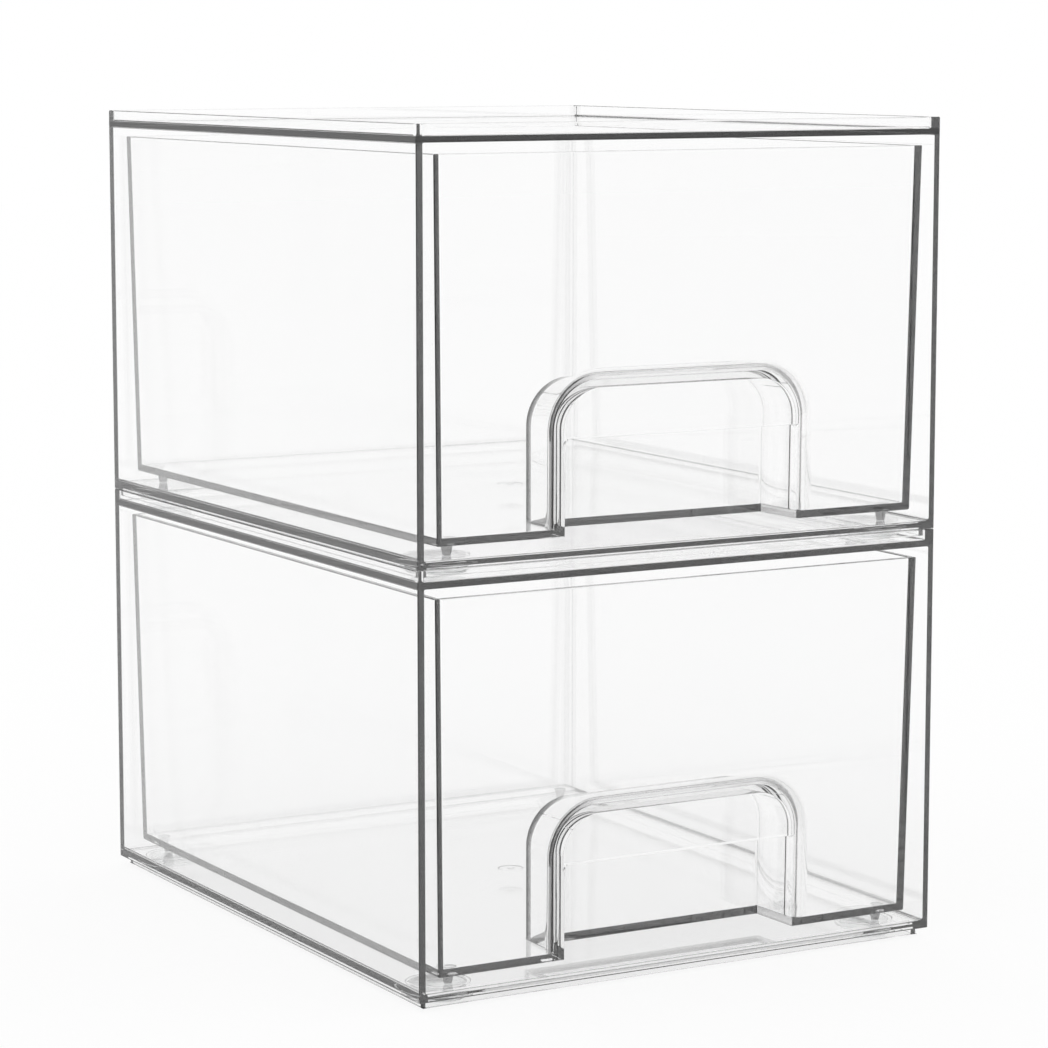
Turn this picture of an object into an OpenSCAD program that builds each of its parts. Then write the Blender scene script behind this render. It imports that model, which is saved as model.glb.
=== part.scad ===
// Stackable drawer boxes: two clear units of one pattern, the upper nested on the lower.
// A unit is a case that is open at the front, a drawer that slides out of it, and four
// round pads under its floor. The case's rim takes the plinth of the unit above.
//
// X runs to the right, Y to the back and Z up, in millimetres. The origin is the middle
// of the stack's footprint, level with the underside of the lowest pads. The modules of
// one unit are drawn with Z = 0 at the lower edge of the case walls.

/* [Case] */
// Outer width of the case
case_w = 236; // [190:1:340]
// Outer depth of the case
case_d = 284; // [140:1:420]
// Height of the case walls, from their lower edge to the top of the rim
case_h = 165; // [110:1:300]
// Thickness of the side and back walls
wall_t = 2.7; // [1.8:0.1:4]
// Thickness of the top panel
top_t = 2.2; // [1.6:0.1:4]
// Thickness of the floor
floor_t = 2.8; // [1.6:0.1:4]
// Outer radius of the upright corners
case_corner_r = 0.6; // [0.5:0.1:4]
// Radius in the long corners inside the case
case_fillet_r = 2; // [0.5:0.1:6]
// Radius of the floor's front edge, between the side walls
lip_r = 1.4; // [0.4:0.1:1.5]

/* [Stacking] */
// Depth of the recess inside the rim, above the top panel
rim_depth = 4.8; // [4.2:0.1:10]
// Radius of the recess's upright corners
rim_corner_r = 2; // [1:0.1:4]
// Radius between the rim and the top panel
rim_fillet_r = 1; // [0.4:0.1:1.2]
// How far the plinth reaches below the case walls
plinth_drop = 3; // [1.5:0.1:4]
// Thickness of the plinth
plinth_t = 2.4; // [1.5:0.1:4]
// Height of the underside of the floor above the lower edge of the walls
floor_lift = 0.3; // [0.2:0.1:4]
// Clearance on each side between a plinth and the rim that it nests in
nest_clear = 0.3; // [0.2:0.05:1]
// Gap between the walls of the upper unit and the rim below them
stack_gap = 0.25; // [0.1:0.05:0.5]

/* [Drawer] */
// Thickness of the drawer walls
drawer_wall_t = 2.8; // [1.8:0.1:4]
// Thickness of the drawer floor
drawer_floor_t = 2.9; // [1.8:0.1:4]
// Clearance between the drawer's rim and the case wall on each side
side_clear = 5.1; // [1:0.1:10]
// Clearance between the drawer's rim and the back wall of the case
back_clear = 2; // [0.5:0.1:10]
// Clearance between the drawer's rim and the top panel
top_clear = 4.2; // [1:0.1:12]
// How far the drawer's rim stands back from the front of the case
front_setback = 0.8; // [0:0.1:6]
// How much each side wall leans in, from rim to floor
side_draft = 2.1; // [0:0.1:6]
// How much the front and back walls lean in, from rim to floor
end_draft = 2.2; // [0:0.1:10]
// Outer radius of the drawer's upright corners
drawer_corner_r = 1; // [0.6:0.1:10]
// Outer radius of the drawer's lower edges
drawer_edge_r = 0.8; // [0.3:0.1:1.5]
// Radius inside, between the drawer's walls and its floor
drawer_fillet_r = 1.6; // [0.5:0.1:4]
// Diameter of the four feet under the drawer, at their tips
foot_d = 3.2; // [2.5:0.1:8]
// Draft of the feet, in degrees
foot_draft = 3; // [0:0.5:5]
// Height of the feet
foot_h = 4.6; // [1.5:0.1:6]
// Distance from a foot's centre to the drawer's underside edges
foot_inset = 8.5; // [5:0.5:20]
// Running gap between the feet and the floor of the case
slide_gap = 0.1; // [0.05:0.05:0.3]

/* [Handle] */
// Width of the finger pocket inside
pocket_w = 106; // [60:1:150]
// Height of the finger pocket inside, from the drawer's underside
pocket_h = 56.5; // [45:0.5:70]
// Distance from the lower edge of the drawer's front to the back of the pocket
pocket_depth = 25; // [15:0.1:40]
// Height of the opening in the drawer's front, below the visor
window_h = 37.4; // [25:0.1:40]
// Thickness of the walls round the pocket
pocket_wall_t = 3; // [2:0.1:4]
// Radius of the pocket's shoulders inside
pocket_shoulder_r = 16.5; // [8:0.5:25]
// Radius of the pocket's rear edges inside
pocket_edge_r = 2; // [1:0.1:5]
// Fillet between the pocket's walls and the back of the drawer's front
pocket_fillet_r = 1.5; // [0.5:0.1:3]
// Draft of the pocket's sides and roof, in degrees
pocket_draft = 2; // [0:0.1:5]
// Radius of the opening's upper corners
window_corner_r = 2.5; // [1:0.1:8]

/* [Pads] */
// Diameter of a pad
pad_d = 20; // [12:0.5:26]
// How far the pads stand proud of the plinth
pad_proud = 0.6; // [0.3:0.1:1]
// Radius of a pad's lower edge
pad_edge_r = 1; // [0.3:0.1:1.5]
// Distance from a pad's centre to the outer faces of the case
pad_inset = 19; // [19:0.5:40]
// Thickness of the ring that each pad sits in
seat_t = 1.6; // [1:0.1:3]
// How far that ring stops short of the plinth's lower edge
seat_back = 0.8; // [0.3:0.1:1.2]
// Clearance round a pad in its ring
seat_clear = 0.2; // [0.1:0.05:0.5]
// Thickness of the adhesive between a pad and the floor
glue_t = 0.1; // [0.05:0.05:0.3]

/* [Moulding] */
// Diameter of the gate recess under the drawer's floor
gate_d = 10.5; // [6:0.5:20]
// Depth of the gate recess
gate_depth = 0.5; // [0.2:0.1:1]
// Diameter of the gate's stub in that recess
stub_d = 2.4; // [1.5:0.1:4]

/* [Hidden] */

// Number of facets of a full circle
round_fn = 64;
// Steps in a lofted outline's quarter circles: at the drawer's upright corners, and at the
// pocket's shoulders
corner_steps = 4;
shoulder_steps = 14;
// Steps that a lofted edge or fillet is drawn in
edge_steps = 5;
// How far a cut runs past the face that it opens
past = 1;
// Least radius left where a fillet is limited by its wall
least_r = 0.5;
LEFT = -1;
RIGHT = 1;
FRONT = -1;
REAR = 1;
LOWER = 0;
UPPER = 1;

// Heights in a unit, above the lower edge of the case walls
floor_top = floor_lift + floor_t;
panel_top = case_h - rim_depth;
panel_under = panel_top - top_t;
drawer_z = floor_top + slide_gap + foot_h;
drawer_h = panel_under - top_clear - drawer_z;

// Plan sizes inside the case and round the plinth
inner_w = case_w - 2 * wall_t;
inner_d = case_d - 2 * wall_t;
plinth_w = inner_w - 2 * nest_clear;
plinth_d = inner_d - 2 * nest_clear;
plinth_r = max(rim_corner_r - nest_clear, least_r);

// The drawer's rim in plan, and where it lies from front to back
rim_w = inner_w - 2 * side_clear;
rim_front = -case_d / 2 + front_setback;
rim_back = case_d / 2 - wall_t - back_clear;
rim_d = rim_back - rim_front;
rim_mid = (rim_front + rim_back) / 2;
drawer_inner_r = max(drawer_corner_r - drawer_wall_t, least_r);

// Where the drawer's front wall meets its underside, outside and inside
toe_y = rim_front + end_draft;
heel_y = toe_y + drawer_wall_t;
pocket_back = toe_y + pocket_depth;

// Heights in the stack
unit_lift = plinth_drop + pad_proud;
stack_pitch = case_h + stack_gap;
pad_t = floor_lift - glue_t + plinth_drop + pad_proud;
seat_h = floor_lift + plinth_drop - seat_back;

CLEAR = [0.84, 0.88, 0.90, 0.45];
SILICONE = [0.90, 0.92, 0.92, 0.75];

// Along a rounded edge of radius r, at step i: how far it is drawn in from one face, and how
// far it has risen from the other
function drawn_in(r, i) = r * (1 - sin(90 * i / edge_steps));
function risen(r, i) = r * (1 - cos(90 * i / edge_steps));

// ---- Outlines ----

// Rectangle with round corners, centred
module rounded_plate(w, d, r) {
    square([w - 2 * r, d], center = true);
    square([w, d - 2 * r], center = true);
    for (x = [-1, 1], y = [-1, 1])
        translate([x * (w / 2 - r), y * (d / 2 - r)]) circle(r);
}

// Rectangle that stands on the X axis, with its two lower corners round
module trough(w, h, r) {
    translate([-w / 2, r]) square([w, h - r]);
    translate([-w / 2 + r, 0]) square([w - 2 * r, h]);
    for (side = [LEFT, RIGHT])
        translate([side * (w / 2 - r), r]) circle(r);
}

// Upright arch that stands on the X axis: straight sides and round shoulders
module arch(w, h, r) {
    translate([-w / 2, 0]) square([w, h - r]);
    translate([-w / 2 + r, 0]) square([w - 2 * r, h]);
    for (side = [LEFT, RIGHT])
        translate([side * (w / 2 - r), h - r]) circle(r);
}

// Points of a quarter circle
function quarter(x, y, r, start, steps) =
    [for (i = [0:steps]) let (a = start + 90 * i / steps) [x + r * cos(a), y + r * sin(a)]];

// Points of a rectangle with round corners, and of an arch, both anticlockwise
function plate_outline(w, d, r) = let (x = w / 2 - r, y = d / 2 - r) concat(
    quarter(x, y, r, 0, corner_steps), quarter(-x, y, r, 90, corner_steps),
    quarter(-x, -y, r, 180, corner_steps), quarter(x, -y, r, 270, corner_steps));
function arch_outline(w, h, r, foot) = concat(
    [[w / 2, -foot]],
    quarter(w / 2 - r, h - r, r, 0, shoulder_steps),
    quarter(-w / 2 + r, h - r, r, 90, shoulder_steps),
    [[-w / 2, -foot]]);

// Solid through rings of points that match one to one. Seen from the last ring's side, each
// ring runs anticlockwise.
module loft(rings) {
    n = len(rings[0]);
    top = n * (len(rings) - 1);
    polyhedron(
        points = [for (ring = rings) each ring],
        faces = concat(
            [[for (i = [0:n - 1]) i], [for (i = [n - 1:-1:0]) top + i]],
            [for (k = [0:len(rings) - 2], i = [0:n - 1]) let (low = n * k, next = (i + 1) % n)
                [low + i, low + n + i, low + n + next, low + next]]));
}

// ---- Case ----

module case_body() {
    linear_extrude(case_h) rounded_plate(case_w, case_d, case_corner_r, $fn = round_fn);
    translate([0, 0, -plinth_drop])
        linear_extrude(plinth_drop + floor_lift)
        rounded_plate(plinth_w, plinth_d, plinth_r, $fn = round_fn);
}

// The recess in the top that the next unit's plinth nests in, with a fillet round its floor
module rim_recess() {
    h = rim_depth + past;
    translate([0, 0, panel_top]) intersection() {
        linear_extrude(h) rounded_plate(inner_w, inner_d, rim_corner_r, $fn = round_fn);
        translate([0, case_d / 2, 0])
            rotate([90, 0, 0]) linear_extrude(case_d) trough(inner_w, h, rim_fillet_r, $fn = round_fn);
        translate([-case_w / 2, 0, 0])
            rotate([90, 0, 90]) linear_extrude(case_w) trough(inner_d, h, rim_fillet_r, $fn = round_fn);
    }
}

// The room for the drawer: open at the front, with fillets along its corners and round its
// back wall
module drawer_bay() {
    bay_h = panel_under - floor_top;
    bay_d = case_d - wall_t + past;
    translate([0, case_d / 2 - wall_t, floor_top + bay_h / 2]) intersection() {
        rotate([90, 0, 0])
            linear_extrude(bay_d) rounded_plate(inner_w, bay_h, case_fillet_r, $fn = round_fn);
        translate([0, 0, -case_h / 2])
            rotate([0, 0, 180]) linear_extrude(case_h) trough(inner_w, bay_d, case_fillet_r, $fn = round_fn);
        translate([-case_w / 2, 0, 0])
            rotate([0, 90, 0]) linear_extrude(case_w)
            rotate([0, 0, 180]) trough(bay_h, bay_d, case_fillet_r, $fn = round_fn);
    }
}

// Rounds the floor's front edge between the fillets of the side walls
module floor_lip() {
    lip_w = inner_w - 2 * case_fillet_r;
    translate([-lip_w / 2, -case_d / 2 + lip_r, floor_top - lip_r])
        rotate([90, 0, 90])
        linear_extrude(lip_w)
        difference() {
            translate([-lip_r - past, 0]) square([lip_r + past, lip_r + past]);
            circle(lip_r, $fn = round_fn);
        }
}

// The hollow inside the plinth
module underside_recess() {
    translate([0, 0, -plinth_drop - past])
        linear_extrude(plinth_drop + floor_lift + past)
        rounded_plate(plinth_w - 2 * plinth_t, plinth_d - 2 * plinth_t, least_r, $fn = round_fn);
}

module at_pad(side, end) {
    translate([side * (case_w / 2 - pad_inset), end * (case_d / 2 - pad_inset), 0])
        children();
}

// Ring under the floor that a pad sits in
module pad_seat() {
    inside_r = pad_d / 2 + seat_clear;
    translate([0, 0, floor_lift - seat_h]) difference() {
        cylinder(r = inside_r + seat_t, h = seat_h, $fn = round_fn);
        translate([0, 0, -past]) cylinder(r = inside_r, h = seat_h + past, $fn = round_fn);
    }
}

module case_shell() {
    difference() {
        case_body();
        rim_recess();
        drawer_bay();
        floor_lip();
        underside_recess();
    }
    for (side = [LEFT, RIGHT], end = [FRONT, REAR]) at_pad(side, end) pad_seat();
}

// ---- Drawer ----

// Width and depth of the drawer's outside at a height above its underside
function drawer_w_at(z) = rim_w - 2 * side_draft * (1 - z / drawer_h);
function drawer_d_at(z) = rim_d - 2 * end_draft * (1 - z / drawer_h);

// Ring round the tapered drawer at a height, drawn in from the outside
function drawer_ring(z, inset, r) = [
    for (p = plate_outline(drawer_w_at(z) - 2 * inset, drawer_d_at(z) - 2 * inset, r))
        [p[0], rim_mid + p[1], z]];

// Outside of the drawer as a solid block, with round lower edges
module drawer_block() {
    loft(concat(
        [for (i = [0:edge_steps])
            drawer_ring(risen(drawer_edge_r, i), drawn_in(drawer_edge_r, i), drawer_corner_r)],
        [drawer_ring(drawer_h, 0, drawer_corner_r)]));
}

// Inside of the drawer, with a fillet round its floor
module drawer_cavity() {
    loft(concat(
        [for (i = [0:edge_steps])
            drawer_ring(drawer_floor_t + risen(drawer_fillet_r, i),
                drawer_wall_t + drawn_in(drawer_fillet_r, i), drawer_inner_r)],
        [drawer_ring(drawer_h + past, drawer_wall_t, drawer_inner_r)]));
}

// What lies inside the drawer's walls, down through its floor
module between_walls() {
    loft([
        drawer_ring(-2 * past, drawer_wall_t, drawer_inner_r),
        drawer_ring(drawer_h, drawer_wall_t, drawer_inner_r)]);
}

// How far the pocket's sides and roof have drawn in at a depth y
function pocket_lean(y) = max(y - heel_y, 0) * tan(pocket_draft);

// Ring round the finger pocket at a depth y, grown from its inside
function pocket_ring(y, grow, foot) = let (g = grow - pocket_lean(y)) [
    for (p = arch_outline(pocket_w + 2 * g, pocket_h + g, pocket_shoulder_r + g, foot))
        [p[0], y, p[1]]];

// Rings of the pocket's back, from its rear face to where its edges' rounding ends
function pocket_rear(grow, foot) = let (edge_r = pocket_edge_r + grow) [
    for (i = [edge_steps:-1:0])
        pocket_ring(pocket_back + grow - drawn_in(edge_r, i), grow - risen(edge_r, i), foot)];

// Inside of the finger pocket: an arch that narrows to the back with its draft
module pocket_inside(foot) {
    loft(concat(pocket_rear(0, foot), [
        pocket_ring(heel_y, 0, foot),
        pocket_ring(rim_front - past, 0, foot)]));
}

// Outside of the pocket's walls, which flare where they leave the drawer's front
module pocket_outside() {
    flare_y = heel_y - end_draft * pocket_h / 2 / drawer_h;
    loft(concat(
        pocket_rear(pocket_wall_t, 0),
        [for (i = [edge_steps:-1:0])
            pocket_ring(flare_y + risen(pocket_fillet_r, i),
                pocket_wall_t + drawn_in(pocket_fillet_r, i), 0)],
        [pocket_ring(rim_front - past, pocket_wall_t + pocket_fillet_r, 0)]));
}

// Opening in the front, from the underside up to the visor
module pocket_window() {
    translate([0, heel_y, -past])
        rotate([90, 0, 0])
        linear_extrude(heel_y - rim_front + past)
        arch(pocket_w, window_h + past, window_corner_r, $fn = round_fn);
}

// Finger room: the pocket behind the front wall, and its opening
module finger_room() {
    intersection() {
        pocket_inside(past);
        between_walls();
    }
    pocket_window();
}

module drawer_foot(side, end) {
    x = drawer_w_at(0) / 2 - foot_inset;
    y = drawer_d_at(0) / 2 - foot_inset;
    h = foot_h + drawer_floor_t / 2;
    translate([side * x, rim_mid + end * y, -foot_h])
        cylinder(d1 = foot_d, d2 = foot_d + 2 * h * tan(foot_draft), h = h, $fn = round_fn);
}

// Recess with a stub, where the plastic enters the mould
module gate_recess() {
    translate([0, rim_mid, -past]) difference() {
        cylinder(d = gate_d, h = gate_depth + past, $fn = round_fn);
        cylinder(d = stub_d, h = gate_depth + 2 * past, $fn = round_fn);
    }
}

module drawer_box() {
    translate([0, 0, drawer_z]) {
        difference() {
            drawer_block();
            difference() {
                drawer_cavity();
                pocket_outside();
            }
            finger_room();
            gate_recess();
        }
        for (side = [LEFT, RIGHT], end = [FRONT, REAR]) drawer_foot(side, end);
    }
}

// ---- Pads ----

module pad() {
    r = pad_d / 2;
    translate([0, 0, floor_lift - glue_t - pad_t]) rotate_extrude($fn = round_fn) {
        square([r - pad_edge_r, pad_t]);
        translate([0, pad_edge_r]) square([r, pad_t - pad_edge_r]);
        translate([r - pad_edge_r, pad_edge_r])
            intersection() {
                circle(pad_edge_r);
                translate([0, -pad_edge_r]) square(pad_edge_r);
            }
    }
}

// ---- Stack ----

// Lifts the pieces of a unit to its place in the stack
module in_unit(level) {
    translate([0, 0, unit_lift + level * stack_pitch]) children();
}

module unit_case(level) { color(CLEAR) in_unit(level) case_shell(); }
module unit_drawer(level) { color(CLEAR) in_unit(level) drawer_box(); }
module unit_pad(level, side, end) { color(SILICONE) in_unit(level) at_pad(side, end) pad(); }

module lower_case() { unit_case(LOWER); }
module lower_drawer() { unit_drawer(LOWER); }
module lower_pad_front_left() { unit_pad(LOWER, LEFT, FRONT); }
module lower_pad_front_right() { unit_pad(LOWER, RIGHT, FRONT); }
module lower_pad_rear_left() { unit_pad(LOWER, LEFT, REAR); }
module lower_pad_rear_right() { unit_pad(LOWER, RIGHT, REAR); }

module upper_case() { unit_case(UPPER); }
module upper_drawer() { unit_drawer(UPPER); }
module upper_pad_front_left() { unit_pad(UPPER, LEFT, FRONT); }
module upper_pad_front_right() { unit_pad(UPPER, RIGHT, FRONT); }
module upper_pad_rear_left() { unit_pad(UPPER, LEFT, REAR); }
module upper_pad_rear_right() { unit_pad(UPPER, RIGHT, REAR); }

lower_case();
lower_drawer();
lower_pad_front_left();
lower_pad_front_right();
lower_pad_rear_left();
lower_pad_rear_right();
upper_case();
upper_drawer();
upper_pad_front_left();
upper_pad_front_right();
upper_pad_rear_left();
upper_pad_rear_right();
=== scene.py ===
"""Looks of two stacked clear drawer boxes: mouldings, finishes, floor, light and camera.

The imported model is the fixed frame. Each case, drawer and anti-slip pad is drawn again here,
from the same sizes and with the small radii that its mould leaves, and it stands for its node.
Sizes are in millimetres, and they turn to metres when a mesh is finished.
"""

import logging
import math
from dataclasses import dataclass, field
from enum import Enum
from typing import Any, Callable

import bmesh
import bpy
import numpy as np
from bpy.types import Material, Mesh, Node, NodeSocket, NodeTree, Object, World
from mathutils import Euler, Matrix, Vector
from numpy.typing import NDArray


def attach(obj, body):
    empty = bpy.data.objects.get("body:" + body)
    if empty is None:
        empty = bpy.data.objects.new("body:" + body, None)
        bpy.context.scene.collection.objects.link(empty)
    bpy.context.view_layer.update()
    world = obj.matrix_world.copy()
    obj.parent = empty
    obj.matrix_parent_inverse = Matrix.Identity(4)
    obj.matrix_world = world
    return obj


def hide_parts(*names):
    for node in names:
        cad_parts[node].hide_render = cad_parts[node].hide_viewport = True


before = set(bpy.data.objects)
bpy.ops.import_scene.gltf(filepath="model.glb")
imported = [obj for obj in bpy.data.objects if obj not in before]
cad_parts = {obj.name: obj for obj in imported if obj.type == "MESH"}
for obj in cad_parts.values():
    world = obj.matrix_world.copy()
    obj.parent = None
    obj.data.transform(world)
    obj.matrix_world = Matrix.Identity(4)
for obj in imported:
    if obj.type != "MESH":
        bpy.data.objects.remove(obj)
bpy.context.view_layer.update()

log = logging.getLogger("drawer_boxes")

MM = 0.001
FAR = math.inf
NEAR = 0.05  # mm, within which a place counts as on a grid line
TINY = 1e-6
FLAT_DEG = 0.1  # faces that turn by less lie in one plane
SHARP_COSINE = 0.5  # the normals at a sharp edge have less in common
TURNING = (0.15, 0.985)  # |y| of the normals of faces between a side wall and the front
DECIMALS = 4  # grid lines that agree to these are one line
EDGE_STEPS = 4  # faces across a rounded edge
BOUNCES = 64  # a plate's end is dark because of its many reflections, so they are all followed

Array = NDArray[Any]
Point = tuple[float, float, float]
Warp = Callable[[Array], Array]


def linear(hex_colour: str) -> tuple[float, float, float, float]:
    """Turns an sRGB hex colour into linear RGBA.

    Args:
        hex_colour: Colour such as "#F4F6F7".

    Returns:
        Linear red, green and blue from 0 to 1, and an alpha of 1.
    """
    parts = [int(hex_colour[i:i + 2], 16) / 255 for i in (1, 3, 5)]
    red, green, blue = (
        p / 12.92 if p <= 0.04045 else ((p + 0.055) / 1.055) ** 2.4 for p in parts
    )
    return red, green, blue, 1.0


def add_node(tree: NodeTree, kind: str, settings: dict[str, Any] | None = None,
             inputs: dict[str | int, Any] | None = None) -> Node:
    """Adds one node, sets it and links it.

    Args:
        tree: Node tree that it goes into.
        kind: Blender's name for the node's type.
        settings: The node's own properties by name.
        inputs: Its input sockets by name or number, each with a value or the output socket
            that feeds it.

    Returns:
        The new node.
    """
    node = tree.nodes.new(kind)
    for name, value in (settings or {}).items():
        setattr(node, name, value)
    for name, value in (inputs or {}).items():
        if isinstance(value, NodeSocket):
            tree.links.new(value, node.inputs[name])
        else:
            node.inputs[name].default_value = value
    return node


def empty_tree(material: Material | World) -> NodeTree:
    """Gives a material or a world a node tree with nothing in it.

    Args:
        material: The material or world.

    Returns:
        Its empty node tree.
    """
    material.use_nodes = True
    material.node_tree.nodes.clear()
    return material.node_tree


def place_object(name: str, mesh: Mesh) -> Object:
    """Puts a mesh into the scene as an object at the origin.

    Args:
        name: Name of the object.
        mesh: Its mesh.

    Returns:
        The object.
    """
    piece = bpy.data.objects.new(name, mesh)
    bpy.context.scene.collection.objects.link(piece)
    return piece


class Level(Enum):
    """The two units of the stack, each with the height of its case walls' lower edge."""

    LOWER = ("lower", 3.6)
    UPPER = ("upper", 168.85)

    def __init__(self, prefix: str, height: float) -> None:
        """Names the unit's nodes and sets its height in mm."""
        self.prefix = prefix
        self.height = height


class Look(Enum):
    """What is different in a part of a moulding, as the name of the attribute that marks it."""

    PAINTED_SHADE = "painted_shade"  # painted shade: corners given extra loss, so that they render dark
    FOOT = "foot"  # the drawer's feet, which get a grey painted on as painted shade
    LIT = "lit"  # painted light: a lower-case face whose loss turns to light from the floor under it


# ---- Mouldings ----


@dataclass(frozen=True)
class Rounding:
    """Radius of the edges in one part of a moulding.

    Attributes:
        radius: Radius in mm.
        inner: True for the edges of hollows, False for those that stand out.
        low: Least |x|, y and z of the middles of these edges, on the straight grid.
        high: Greatest ones.
    """

    radius: float
    inner: bool
    low: Point = (-FAR, -FAR, -FAR)
    high: Point = (FAR, FAR, FAR)


@dataclass(frozen=True)
class Patch:
    """Part of a moulding that looks different.

    Attributes:
        look: What is different there.
        low: Least |x|, y and z of the middles of its faces.
        high: Greatest ones.
        curved: False for faces of the skin before its edges are rounded, True for those faces
            of the finished piece that turn from a side wall towards the front.
    """

    look: Look
    low: Point
    high: Point
    curved: bool = False


@dataclass
class Cells:
    """Solid made of the cells of a grid with uneven lines.

    Attributes:
        lines: Places of the grid's planes along x, y and z, in mm.
        solid: One truth value for each cell.
    """

    lines: tuple[Array, Array, Array]
    solid: Array = field(init=False)

    def __post_init__(self) -> None:
        """Starts with every cell empty."""
        self.solid = np.zeros([len(line) - 1 for line in self.lines], bool)

    def fill(self, low: Point, high: Point, solid: bool = True) -> None:
        """Fills or empties the cells whose middles lie in a box.

        Args:
            low: Lowest corner of the box.
            high: Highest corner.
            solid: Whether the cells become solid or empty.
        """
        middles = [(line[1:] + line[:-1]) / 2 for line in self.lines]
        inside = [(m > a) & (m < b) for m, a, b in zip(middles, low, high)]
        self.solid[np.ix_(*inside)] = solid

    def surface(self) -> tuple[Array, Array]:
        """Finds the skin: every cell face with a solid cell on one side and air on the other.

        Along each axis the difference between neighbouring cells is -1 where a face looks up
        that axis and +1 where it looks down it. The corners of a face are the grid's crossings,
        numbered anticlockwise as seen from the air.

        Returns:
            The crossings in use, one row each, and four of their numbers for each face.
        """
        shape = [len(line) for line in self.lines]
        number = np.arange(np.prod(shape)).reshape(shape)
        faces = []
        for axis, turn in enumerate((1, -1, 1)):
            cells = np.moveaxis(np.pad(self.solid, 1).astype(int), axis, 0)
            step = np.diff(cells, axis=0)[:, 1:-1, 1:-1] * turn
            at = np.moveaxis(number, axis, 0)
            quads = np.stack(
                [at[:, :-1, :-1], at[:, 1:, :-1], at[:, 1:, 1:], at[:, :-1, 1:]], axis=-1)
            faces += [quads[step == -1], quads[step == 1][:, ::-1]]
        used, quads = np.unique(np.concatenate(faces), return_inverse=True)
        crossings = np.unravel_index(used, shape)
        points = np.stack([line[i] for line, i in zip(self.lines, crossings)], axis=-1)
        return points, quads.reshape(-1, 4)


def face_places(points: Array, quads: Array) -> tuple[Array, Array]:
    """Finds where each face of a skin is and which way it looks.

    Args:
        points: Crossings, one row each.
        quads: Four crossings for each face.

    Returns:
        The middle and the unit normal of each face, from the cross product of its diagonals.
    """
    corners = points[quads]
    normal = np.cross(corners[:, 2] - corners[:, 0], corners[:, 3] - corners[:, 1])
    return corners.mean(axis=1), normal / np.linalg.norm(normal, axis=1, keepdims=True)


def within(place: Array, low: Point, high: Point) -> Array:
    """Tells which places, with |x| for x, lie in a box."""
    folded = np.abs(place) * (1, 0, 0) + place * (0, 1, 1)
    return np.all((folded >= np.array(low)) & (folded <= np.array(high)), axis=1)


def edge_radii(points: Array, quads: Array, roundings: list[Rounding]) -> tuple[Array, Array]:
    """Gives each edge of a skin the radius of the last rounding that reaches it.

    An edge is sharp where its two faces look different ways. It belongs to a hollow where the
    way from the middle of one face to that of the other rises out of the first face.

    Args:
        points: Crossings, one row each.
        quads: Four crossings for each face.
        roundings: Radii by place, the general ones first.

    Returns:
        The two crossings of each edge, in rising order, and each edge's radius in mm.
    """
    ends = np.stack([quads, np.roll(quads, -1, axis=1)], axis=-1).reshape(-1, 2)
    edges, owner = np.unique(np.sort(ends, axis=1), axis=0, return_inverse=True)
    first, second = (np.argsort(owner.ravel(), kind="stable") // 4).reshape(-1, 2).T
    middle, normal = face_places(points, quads)
    sharp = (normal[first] * normal[second]).sum(axis=1) < SHARP_COSINE
    inner = ((middle[second] - middle[first]) * normal[first]).sum(axis=1) > TINY
    place = points[edges].mean(axis=1)
    radius = np.zeros(len(edges))
    for rule in roundings:
        chosen = sharp & within(place, rule.low, rule.high) & (inner == rule.inner)
        radius[chosen] = rule.radius
    return edges, radius


def square_lines(middle: float, radii: list[float], steps: int) -> Array:
    """Places grid lines so that squares round a centre turn into evenly divided circles.

    The lines lie at middle + r * tan(angle), for angles in equal steps from -45 to 45 degrees.

    Args:
        middle: Place of the centre along the axis.
        radii: Radius of each circle in mm.
        steps: Number of steps to a quarter of the largest circle.

    Returns:
        The places of the lines.
    """
    angles = np.radians(np.linspace(-45, 45, steps + 1))
    return middle + np.concatenate([max(radii) * np.tan(angles), radii, -np.array(radii)])


def squares_to_circles(points: Array, centre: tuple[float, float], full: float,
                       fade: float, top: float) -> Array:
    """Turns squares round an upright axis into circles.

    A point at distances u and v from the axis lies on the square of half side max(u, v) and
    moves in or out to the circle of that radius. This fades to nothing outside the circle.

    Args:
        points: Points to move, one row each.
        centre: The axis in x and y.
        full: Half side of the largest square that becomes a true circle.
        fade: Width outside it in which the movement fades.
        top: Height of the highest points that move.

    Returns:
        The moved points.
    """
    away = points[:, :2] - np.array(centre)
    square = np.abs(away).max(axis=1)
    circle = np.maximum(np.hypot(*away.T), TINY)
    share = np.clip((full + fade - square) / fade, 0, 1) * (points[:, 2] <= top + NEAR)
    factor = 1 + (square / circle - 1) * share
    moved = points.copy()
    moved[:, :2] = np.array(centre) + away * factor[:, None]
    return moved


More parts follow.
